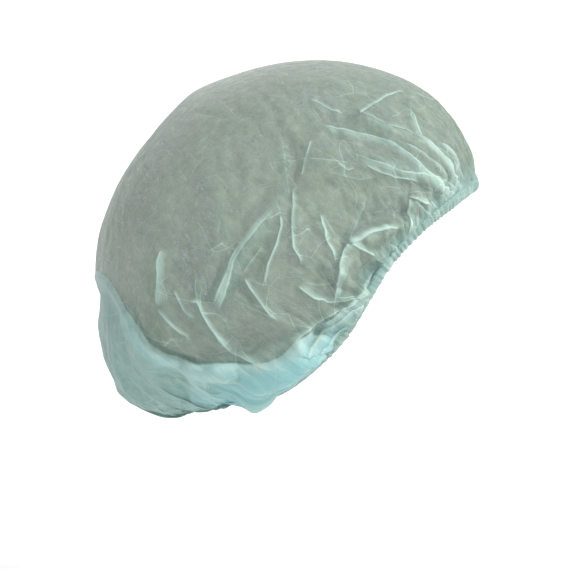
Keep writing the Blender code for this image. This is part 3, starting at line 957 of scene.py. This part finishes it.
def hem_point(angle, turn):
    """A point of the hem's outer face, for an angle round the cap and a turn round the section, 0 at the top.
    Up the band it follows a cosine, and out of it the square root of a sine, so that its faces are flat."""
    place, up, out = hem_directions(angle)
    height = (1 + np.cos(turn)) / 2
    side = np.sign(np.sin(turn)) * np.sqrt(np.abs(np.sin(turn)))
    wave = pucker(angle)
    held = 1 - THREAD_HOLD * np.exp(-((height - THREAD_AT) / THREAD_SPREAD) ** 2)
    lift = np.where(side > 0, wave, INNER_SHARE * (1 - wave)) * PUCKER_HEIGHT * held
    thick = HEM_FACE * (1 - PINCH * ramp(height, *PINCH_FROM)) + lift
    rise = height * HEM_HEIGHT - SCALLOP_BELOW * wave * (1 - height) + SCALLOP_ABOVE * wave * height
    return place + up * rise[..., None] + out * (side * thick)[..., None]


def round_steps(count):
    """Angles evenly round a full turn."""
    return np.arange(count) * 2 * np.pi / count


def ring_faces(columns, rows):
    """Quads of a closed ring of closed sections."""
    index = np.arange(columns * rows).reshape(columns, rows)
    after = np.roll(index, -1, axis=0)
    corners = (index, np.roll(index, -1, axis=1), np.roll(after, -1, axis=1), after)
    return np.stack(corners, -1).reshape(-1, 4)


hem_angle, hem_turn = np.meshgrid(round_steps(HEM_COLUMNS), round_steps(HEM_ROWS), indexing="ij")
hem_points = hem_point(hem_angle, hem_turn)
hem = new_piece("hem_band", hem_points.reshape(-1, 3), ring_faces(HEM_COLUMNS, HEM_ROWS))
print(f"hem: {2 * len(hem.data.polygons)} triangles")

# %% [markdown]
# The hem wears the crown's finish, so it carries the same map and numbers. It is bunched all over, it lies
# outside the pouch, and its puckers stand for the folds.

# %% Map and numbers of the hem
PUCKER_FOLD, PUCKER_MIDDLE = 0.30, 0.55
hem_map = np.stack([hem_angle / (2 * np.pi) * hem_length, hem_turn / (2 * np.pi) * 2 * HEM_HEIGHT], -1)
add_map(hem, "cut", hem_map.reshape(-1, 2))
for name, value in (("bunched", 1.0), ("roll", 0.0), ("laid", 0.0), ("pouch", -1000 * POUCH_REACH)):
    add_attribute(hem, name, np.full(hem_angle.size, value))
# The puckers' wave stands for the folds, so the finish paints shade between the puckers and pales their tops,
# partly as denser cloth and partly as a painted highlight.
add_attribute(hem, "fold", PUCKER_FOLD * (pucker(hem_angle).ravel() - PUCKER_MIDDLE))
print(f"the hem's map is {hem_length:.3f} m long")

# %% [markdown]
# ## The stitches
# A thread runs round the hem just under its upper edge and closes the casing over the cloth. It is one fine
# tube that dives into the cloth between stitches. It follows the puckers because it asks the hem for its
# place.

# %% Stitch line
STITCHES = 186
STITCH_STEPS = 10
STITCH_TURN = 0.20 * np.pi
STITCH_SLANT = 0.030 * np.pi
THREAD_RADIUS = 0.00022
THREAD_SIDES = 6
THREAD_UP = 1.3
THREAD_DIVE = 2.6


def thread_round_hem(turn_at):
    """Points of a closed thread. Its line stands a little over the hem's face, and between stitches it dives
    by one less a cosine."""
    angle = round_steps(STITCHES * STITCH_STEPS)
    phase = STITCHES * angle
    line = hem_point(angle, np.full(angle.size, turn_at) + STITCH_SLANT * np.sin(phase))
    _, _, out = hem_directions(angle)
    dive = THREAD_DIVE * (1 - np.cos(2 * phase)) / 2 * (np.cos(phase) < 0)
    line = line + out * (THREAD_RADIUS * (THREAD_UP - dive))[:, None]
    way = unit(np.roll(line, -1, axis=0) - np.roll(line, 1, axis=0))
    side = unit(np.cross(way, out))
    top = np.cross(side, way)
    turn = round_steps(THREAD_SIDES)[None, :, None]
    ring = np.cos(turn) * side[:, None] + np.sin(turn) * top[:, None]
    return line[:, None] + THREAD_RADIUS * ring


stitch_points = thread_round_hem(STITCH_TURN).reshape(-1, 3)
stitches = new_piece("hem_stitches", stitch_points, ring_faces(STITCHES * STITCH_STEPS, THREAD_SIDES))
print(f"stitches: {STITCHES}, {2 * len(stitches.data.polygons)} triangles")

# %% [markdown]
# ## Shader maths in Python
# Finishes read better as sums than as boxes and wires. `Signal` wraps one output of a node, and adding or
# multiplying signals adds the Math nodes. `Finish` is a material. Its method `node` adds any other node, and
# the short ones after it call it for the nodes that are needed often.


# %% Signals and finishes
class Signal:
    """A number that changes over the surface."""

    def __init__(self, finish, socket):
        self.finish, self.socket = finish, socket

    def maths(self, operation, *values):
        """A Math node on signals and numbers."""
        return self.finish.node("ShaderNodeMath", {"operation": operation}, dict(enumerate(values)))

    def __add__(self, other):
        return self.maths("ADD", self, other)

    def __sub__(self, other):
        return self.maths("SUBTRACT", self, other)

    def __rsub__(self, other):
        return self.maths("SUBTRACT", other, self)

    def __mul__(self, other):
        return self.maths("MULTIPLY", self, other)

    def __abs__(self):
        return self.maths("ABSOLUTE", self)

    __radd__ = __add__
    __rmul__ = __mul__

    def or_more(self, other):
        """The larger of two."""
        return self.maths("MAXIMUM", self, other)

    def within(self, low, high):
        """0 at low, 1 at high, an even S between them, and held beyond them."""
        return self.finish.node("ShaderNodeMapRange", {"interpolation_type": "SMOOTHSTEP"},
                                {"Value": self, "From Min": low, "From Max": high})


class Finish:
    """A material made of nodes."""

    def __init__(self, name):
        self.material = bpy.data.materials.new(name)
        self.material.use_nodes = True
        self.tree = self.material.node_tree
        self.tree.nodes.clear()

    def node(self, kind, settings=None, values=None, output=0):
        """A node of a kind, with its settings first and then its sockets' values or links: one output."""
        node = self.tree.nodes.new(kind)
        for name, value in (settings or {}).items():
            setattr(node, name, value)
        for name, value in (values or {}).items():
            if isinstance(value, Signal):
                self.tree.links.new(value.socket, node.inputs[name])
            else:
                node.inputs[name].default_value = value
        return Signal(self, node.outputs[output])

    def number(self, name):
        """A number that the piece carries at each point."""
        return self.node("ShaderNodeAttribute", {"attribute_name": name}, output=2)

    def three(self, name):
        """The three numbers that the piece carries at each point under one name."""
        vector = self.node("ShaderNodeAttribute", {"attribute_name": name}, output=1)
        first = self.node("ShaderNodeSeparateXYZ", {}, {0: vector})
        return [Signal(self, socket) for socket in first.socket.node.outputs]

    def vector(self, operation, *values):
        """Vector maths."""
        return self.node("ShaderNodeVectorMath", {"operation": operation}, dict(enumerate(values)))

    def scaled(self, vector, size):
        """A vector times a number."""
        return self.node("ShaderNodeVectorMath", {"operation": "SCALE"}, {0: vector, "Scale": size})

    def mixed(self, share, first, second):
        """A colour between two, by a share."""
        return self.node("ShaderNodeMix", {"data_type": "RGBA"}, {0: share, 6: first, 7: second}, output=2)

    def bump(self, height, strength, distance):
        """The surface's direction, bent by a height."""
        return self.node("ShaderNodeBump", {}, {"Strength": strength, "Distance": distance, "Height": height})

    def made(self, **sockets):
        """The material, with a Principled shader whose sockets are named with _ for a space."""
        values = {name.replace("_", " "): value for name, value in sockets.items()}
        shader = self.node("ShaderNodeBsdfPrincipled", {}, values)
        out = self.tree.nodes.new("ShaderNodeOutputMaterial")
        self.tree.links.new(shader.socket, out.inputs["Surface"])
        return self.material


print("signals and finishes are ready")

# %% [markdown]
# ## Nonwoven cloth
# Spunbond cloth is a mat of fine plastic fibres, pressed together at a lattice of tiny points. It is cloudy
# where the fibres lie thick, and clearer at the bond points. Everything is read from the cut's own map in
# metres, so the pattern turns with the cloth. Three sizes of noise make the mat, and threads of stretched
# noise cross each other in three directions.

# %% Fibres, clouds and bond points
# scale, detail, roughness, strength
MAT_NOISES = (
    (15.0, 2.0, 0.6, 0.9),
    (150.0, 4.0, 0.6, 1.6),
    (620.0, 2.0, 0.7, 0.5),
)
FIBRE_TURNS = (0.35, 1.45, 2.60)
FIBRE_SCALE = (110, 1300, 1)
FIBRE_SHOWN = (0.54, 0.74)
FIBRE_SHARE = 0.10
BOND_PITCH = 0.0018
BOND_TURN = 0.785
BOND_UNEVEN = 0.22
BOND_EDGE = (0.14, 0.30)


def noise(f, place, scale, detail, roughness=0.6):
    """Soft noise over the flat cut."""
    return f.node("ShaderNodeTexNoise", {"noise_dimensions": "2D"}, {
        "Vector": place, "Scale": scale, "Detail": detail, "Roughness": roughness})


def turned(f, place, turn, scale):
    """A place on the cut, turned and scaled."""
    return f.node("ShaderNodeMapping", {}, {"Vector": place, "Rotation": (0, 0, turn), "Scale": scale})


def mat_of_fibres(f, place):
    """How thick the mat is at each place, around 0, its fibres, and the bond points, from 0 to 1."""
    thick = 0.0
    for scale, detail, roughness, strength in MAT_NOISES:
        thick = (noise(f, place, scale, detail, roughness) - 0.5) * strength + thick
    fibres = 0.0
    for turn in FIBRE_TURNS:
        fibres = noise(f, turned(f, place, turn, FIBRE_SCALE), 1.0, 2.0).within(*FIBRE_SHOWN) + fibres
    lattice = turned(f, place, BOND_TURN, (1 / BOND_PITCH, 1 / BOND_PITCH, 1))
    dots = f.node("ShaderNodeTexVoronoi", {"voronoi_dimensions": "2D"}, {
        "Vector": lattice, "Scale": 1.0, "Randomness": BOND_UNEVEN})
    return thick + (fibres - 1.0) * FIBRE_SHARE, fibres, 1 - dots.within(*BOND_EDGE)


print("the mat of fibres is ready")

# %% [markdown]
# The elastic's pull sets lines that run from the hem towards the middle: faint streaks that reach far, and
# strong pleats right beside the hem. Hairline creases lie all over, as in paper that was crushed once.

# %% Lines from the hem and crackle
# lines on the circle, change outwards, and the radii on the cut between which they fade in
STREAKS = (40.0, 14.0, 0.03, 0.20)
PLEATS = (64.0, 22.0, 0.218, 0.240)
# cells a metre, and the level of the slow noise from which they show
CRACKLE = ((28.0, 0.43), (64.0, 0.47))
CRACKLE_LINE = 0.00045
BEND_SCALE, BEND_BY = 30.0, 0.016
KEPT_SCALE, KEPT_STEP = 0.8, 0.16
FACET_EDGE, FACET_HEIGHT = 0.25, 20.0
LINE_HALF = 0.05


def lines_from_hem(f, place, count, change, low, high):
    """Lines where a noise crosses its middle. It is read on a circle, so that it closes on itself, and
    changes slowly outwards."""
    out = f.node("ShaderNodeVectorMath", {"operation": "LENGTH"}, {0: place}, output=1)
    way = f.scaled(f.vector("NORMALIZE", place), count)
    rise = f.node("ShaderNodeCombineXYZ", {}, {2: out * change})
    wave = f.node("ShaderNodeTexNoise", {}, {
        "Vector": f.vector("ADD", way, rise), "Scale": 1.0, "Detail": 2.0})
    return (1 - abs(wave - 0.5).within(0.0, LINE_HALF)) * out.within(low, high)


def crackle(f, place):
    """Hairlines on the borders of bent cells in two sizes, kept here and there by a slow noise, and the
    cells' own rise from border to middle."""
    bent = f.node("ShaderNodeTexNoise", {"noise_dimensions": "2D"}, {
        "Vector": place, "Scale": BEND_SCALE, "Detail": 1.0}, output=1)
    place = f.vector("ADD", place, f.scaled(bent, BEND_BY))
    lines, facets = 0.0, 0.0
    for size, shown in CRACKLE:
        border = f.node("ShaderNodeTexVoronoi", {"feature": "DISTANCE_TO_EDGE", "voronoi_dimensions": "2D"}, {
            "Vector": place, "Scale": size})
        kept = noise(f, place, size * KEPT_SCALE, 1.0).within(shown, shown + KEPT_STEP)
        lines = ((1 - border.within(0.0, CRACKLE_LINE * size)) * kept).or_more(lines)
        facets = border.within(0.0, FACET_EDGE) * (FACET_HEIGHT / size) * kept + facets
    return lines, facets


print("lines and hairlines are ready")

# %% [markdown]
# ## How a crease looks
# Where the cloth folds over, three layers lie on each other for a millimetre, so a crease is a thin pale
# line. The line is worked out for every dot of the picture from the distance the piece carries, which keeps
# it crisp whatever the size of the mesh. All distances here are in mm.

# %% Creases in the finish
LINE_CORE, LINE_GROWTH, LINE_LEAST, LINE_FULL = 0.05, 0.50, 0.27, 0.9
BAND_EDGE, BAND_GROWTH, BAND_LEAST = (-0.5, 0.5), 1.2, 1.4
SHADE_IN, SHADE_OUT = (0.2, 0.9), (0.9, 3.0)
RIDGE_WIDTH = 1.3


def creases_in(f, sets):
    """The pale line, the band to its left, the shade to its right and the small ridge of the creases, each
    the strongest of all sets."""
    line, band, shade, ridge = 0.0, 0.0, 0.0, 0.0
    for place in range(sets):
        left, power, width = f.three(f"crease_{place}")
        right, away = 0 - left, abs(left)
        line_end, band_end = power * LINE_GROWTH + LINE_LEAST, width * BAND_GROWTH + BAND_LEAST
        line = ((1 - away.within(LINE_CORE, line_end)) * power.within(0.0, LINE_FULL)).or_more(line)
        band = (left.within(*BAND_EDGE) * (1 - left.within(BAND_EDGE[1], band_end)) * power).or_more(band)
        shade = (right.within(*SHADE_IN) * (1 - right.within(*SHADE_OUT)) * power).or_more(shade)
        ridge = ((1 - away.within(0.0, RIDGE_WIDTH)) * power).or_more(ridge)
    return line, band, shade, ridge


print("creases are ready")

# %% [markdown]
# ## The layers of the cloth's look
# The finish is built from named layers, as a painter would: each is near 0 where it is absent and near 1
# where it is full. Here they are all made once, from the map, the creases and the numbers that the piece
# carries.


# %% Layers of the cloth
def cloth_layers(f, sets):
    """Every layer by name. Those named for two others are both of them multiplied."""
    place = f.node("ShaderNodeUVMap", {"uv_map": "cut"})
    thick, fibres, bond = mat_of_fibres(f, place)
    line, band, shade, ridge = creases_in(f, sets)
    hairline, facets = crackle(f, place)
    pouch, bunched, fold = f.number("pouch"), f.number("bunched"), f.number("fold")
    inside = pouch.within(-0.7, 0.7)
    doubled = inside.or_more(bunched)
    thin = (0 - thick).within(0.02, 0.48)
    return dict(
        thick=thick, fibres=fibres, bond=bond, thin=thin,
        line=line, band=band, shade=shade, ridge=ridge, hairline=hairline, facets=facets,
        streaks=lines_from_hem(f, place, *STREAKS), pleats=lines_from_hem(f, place, *PLEATS),
        laid=f.number("laid").within(0.05, 0.75),
        # crest and furrow come from how sharply the cloth bends: furrows get painted shade, and crests are
        # paler, partly as denser cloth and partly as a painted highlight; beyond is the single cloth just
        # above the pouch's edge, which gets painted shade
        crest=fold.within(0.02, 0.20), furrow_shade=1 - fold.within(-0.20, -0.02),
        doubled=doubled, bunched=bunched, rolled=inside * f.number("roll"),
        lip=inside * (1 - pouch.within(0.0, 9.0)), beyond=pouch.within(-9.0, -1.0) * (1 - inside),
        thick_doubled=thick * doubled, thin_doubled=thin * doubled,
        line_worn=line * noise(f, place, 70.0, 1.0).within(0.30, 0.66),
        bunched_patchy=bunched * noise(f, place, 24.0, 1.0).within(0.40, 0.66))


def total(layers, shares):
    """The sum of the layers, each times its share."""
    return sum(layers[name] * share for name, share in shares.items())


print("layers are ready")

# %% [markdown]
# ## The cloth's finish
# The crown is see-through where it is single, and nearly solid in the pouch, in the roll and at the hem. Its
# colour is laid on in washes, one over another: aqua where it lies double, dark in thin patches, painted
# shade in furrows, in the gap, to the right of creases and on the single cloth just above the pouch's edge,
# bluer in the roll and along the lip, and pale on creases and thick patches. Crests are paler too, partly as
# denser cloth and partly as a painted highlight.
# Each wash says how much of which layers it takes. The last two are eased through a soft step, whose ends
# come after their colour.

# %% Nonwoven finish
SHEER = (0.144, 0.198, 0.148, 1)
DOUBLE = (0.205, 0.325, 0.300, 1)
ROLL = (0.220, 0.455, 0.475, 1)
DEEP = (0.175, 0.272, 0.244, 1)
CREASED = (0.375, 0.525, 0.475, 1)
PALE = (0.440, 0.560, 0.510, 1)
# dark teal, for the dark thin patches of the mat and for painted shade
SHADE_AND_MOTTLE = (0.085, 0.165, 0.150, 1)
WASHES = (
    (dict(doubled=1.0), DOUBLE, None),
    (dict(thin=0.75, thin_doubled=-0.60), SHADE_AND_MOTTLE, None),
    (dict(bunched=0.35, bunched_patchy=0.65), DEEP, None),
    (dict(rolled=0.9), ROLL, None),
    # painted shade: darker in furrows and the gap, to the right of creases, and just above the pouch's edge
    (dict(furrow_shade=0.5, shade=0.35, beyond=0.30), SHADE_AND_MOTTLE, None),
    (dict(line=0.35, line_worn=0.55, band=0.55, laid=0.26, hairline=0.42, streaks=0.05), CREASED, (0.0, 1.0)),
    # crest: paler, partly as denser cloth and partly as a painted highlight
    (dict(thick=0.46, crest=0.14, line_worn=0.15, lip=0.38, pleats=0.16), PALE, (-0.12, 0.88)),
)
ONE_LAYER = 0.66
OPAQUE = dict(
    doubled=0.26, line=0.14, band=0.18, shade=0.08, laid=0.07, crest=0.08, streaks=0.04, hairline=0.10,
    pleats=0.12, thick=0.17, thick_doubled=-0.07, bond=-0.06)
HEIGHT = dict(fibres=0.08, thick=0.25, bond=-0.10, ridge=0.7, streaks=0.1, pleats=0.5, facets=0.8)


def nonwoven(name, sets):
    """The cloth's finish, for a piece with some crease sets."""
    f = Finish(name)
    layers = cloth_layers(f, sets)
    colour = SHEER
    for shares, tone, ends in WASHES:
        share = total(layers, shares)
        colour = f.mixed(share.within(*ends) if ends else share, colour, tone)
    opacity = total(layers, OPAQUE) + ONE_LAYER
    return f.made(
        Base_Color=colour, Roughness=0.66 - layers["bond"] * 0.2, Alpha=opacity.within(0.0, 1.0),
        Normal=f.bump(total(layers, HEIGHT), 0.6, 0.001),
        Sheen_Weight=0.2, Sheen_Roughness=0.5, Specular_IOR_Level=0.35)


crown.data.materials.append(nonwoven("sheer aqua nonwoven", CREASE_SETS))
hem.data.materials.append(nonwoven("gathered aqua nonwoven", 0))
print("cloth finishes are on")

# %% [markdown]
# ## Thread and elastic
# The thread is spun polyester, a little glossier than the cloth. The elastic is white, knitted in fine ribs
# along its length, and shows faintly through the hem.

# %% Thread and elastic finishes
THREAD_DARK, THREAD_LIGHT = (0.20, 0.42, 0.39, 1), (0.32, 0.54, 0.50, 1)
RIB_DARK, RIB_LIGHT = (0.62, 0.68, 0.66, 1), (0.86, 0.90, 0.88, 1)


def thread_finish():
    """Spun thread: a fine noise for its ply."""
    f = Finish("aqua thread")
    place = f.node("ShaderNodeTexCoord", {}, output=3)
    ply = f.node("ShaderNodeTexNoise", {}, {"Vector": place, "Scale": 2600.0, "Detail": 2.0})
    return f.made(Base_Color=f.mixed(ply, THREAD_DARK, THREAD_LIGHT), Roughness=0.45 + ply * 0.2)


def elastic_finish():
    """Ribbed elastic: bands up its width, a little crooked."""
    f = Finish("white elastic")
    place = f.node("ShaderNodeTexCoord", {}, output=3)
    rib = f.node("ShaderNodeTexWave", {"wave_type": "BANDS", "bands_direction": "Z"}, {
        "Vector": place, "Scale": 420.0, "Distortion": 1.5, "Detail": 1.0})
    colour = f.mixed(rib, RIB_DARK, RIB_LIGHT)
    return f.made(Base_Color=colour, Roughness=0.6 + rib * 0.1, Normal=f.bump(rib, 0.5, 0.0003))


stitches.data.materials.append(thread_finish())
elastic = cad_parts["elastic_band"]
elastic.data.materials.clear()
elastic.data.materials.append(elastic_finish())
print("thread and elastic finishes are on")

# %% [markdown]
# ## Telling the frame what each piece is
# The cloth crown and the hem stand for their solids, which are hidden, and everything rides on the one body.

# %% Riding and replacing
for piece, slot in ((crown, "crown_cloth"), (hem, "hem_cloth"), (stitches, "hem_cloth")):
    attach(piece, "root")
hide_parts("crown")
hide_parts("hem_casing")

# %% [markdown]
# ## Floor and backdrop
# A pale floor that curves up into a backdrop has no corner to show. It is a strip that is flat under the cap
# and rises behind it by a quarter circle.

# %% Floor
FLOOR_DROP = 0.10
BACKDROP_BEND = 3.6
BACKDROP_RADIUS = 1.6
BACKDROP_REACH = 6.0
floor_height = float(crown_low[2]) - FLOOR_DROP


def backdrop_points(across, run):
    """Points of the strip, by their place across it and along its run: flat up to the bend, then round the
    quarter circle by the sine and the cosine of the run over the radius, then straight up."""
    over = np.clip((run - BACKDROP_BEND) / BACKDROP_RADIUS, 0, np.pi / 2)
    above = np.maximum(run - BACKDROP_BEND - BACKDROP_RADIUS * np.pi / 2, 0)
    x = np.minimum(run, BACKDROP_BEND) + BACKDROP_RADIUS * np.sin(over)
    z = floor_height + BACKDROP_RADIUS * (1 - np.cos(over)) + above
    return np.stack([x, across * BACKDROP_REACH, z], -1)


stage_across, stage_run = np.meshgrid(np.linspace(-1, 1, 9), np.linspace(-6, 9, 121), indexing="ij")
cells = np.arange(stage_across.size).reshape(stage_across.shape)
floor_faces = np.stack([cells[:-1, :-1], cells[:-1, 1:], cells[1:, 1:], cells[1:, :-1]], -1)
floor_points = backdrop_points(stage_across, stage_run)
floor = new_piece("floor", floor_points.reshape(-1, 3), floor_faces.reshape(-1, 4))
floor.data.materials.append(Finish("pale floor").made(Base_Color=(0.96, 0.96, 0.96, 1), Roughness=0.9))
print(f"floor {FLOOR_DROP:.2f} m under the cap")

# %% [markdown]
# ## Light and camera
# Sheer cloth shows its creases in soft light that comes from one side. The key lamp stands above and in
# front of the cap on the camera's side, a weak fill stands behind the cap on the same side, and a rim lamp on
# the far side. A fourth lamp lights the backdrop, and an even pale sky fills the rest.

# %% Lamps and sky
VIEW_CENTRE = Vector((0.0, 0.0210, -0.1397))
BACKDROP_SPOT = Vector((5.2, 0.0, 0.6))
SKY_STRENGTH = 0.62
# name, place, width, power, colour, what it faces
LAMPS = (
    ("key", (-0.7, -1.35, 1.0), 0.5, 38, (1.0, 0.99, 0.97), VIEW_CENTRE),
    ("fill", (-1.4, 1.2, 0.2), 1.2, 3, (0.97, 0.99, 1.0), VIEW_CENTRE),
    ("rim", (0.9, 0.5, 1.1), 0.8, 8, (1.0, 1.0, 1.0), VIEW_CENTRE),
    ("backdrop lamp", (2.6, 0.0, 3.0), 2.0, 90, (1.0, 1.0, 1.0), BACKDROP_SPOT),
)
for name, place, width, power, colour, towards in LAMPS:
    lamp = bpy.data.lights.new(name, "AREA")
    lamp.size, lamp.energy, lamp.color = width, power, colour
    holder = bpy.data.objects.new(name, lamp)
    holder.location = place
    holder.rotation_euler = (towards - Vector(place)).to_track_quat("-Z", "Y").to_euler()
    bpy.context.scene.collection.objects.link(holder)
world = bpy.data.worlds.new("sky")
world.use_nodes = True
world.node_tree.nodes["Background"].inputs["Color"].default_value = (1.0, 1.0, 1.0, 1)
world.node_tree.nodes["Background"].inputs["Strength"].default_value = SKY_STRENGTH
bpy.context.scene.world = world
bpy.context.scene.view_settings.view_transform = "Standard"
bpy.context.scene.cycles.transparent_max_bounces = 12
print(f"{len(LAMPS)} lamps and a sky")

# %% [markdown]
# The camera looks at the cap's right side square on, from far enough away that its near and far sides are
# nearly the same size. Its lens is worked out from the width it has to show.

# %% Camera
VIEW_WIDTH = 0.3559
CAMERA_DISTANCE = 2.4
SENSOR = 0.036
lens = bpy.data.cameras.new("camera")
lens.lens = 1000 * SENSOR * CAMERA_DISTANCE / VIEW_WIDTH
lens.sensor_width = 1000 * SENSOR
lens.clip_start, lens.clip_end = 0.1, 50
camera = bpy.data.objects.new("camera", lens)
camera.location = VIEW_CENTRE + Vector((-CAMERA_DISTANCE, 0, 0))
camera.rotation_euler = (np.pi / 2, 0, -np.pi / 2)
bpy.context.scene.collection.objects.link(camera)
bpy.context.scene.camera = camera
print(f"camera: {lens.lens:.0f} mm lens at {CAMERA_DISTANCE} m")

# %% [markdown]
# ## Finishing

# %% Finish
bpy.context.view_layer.update()
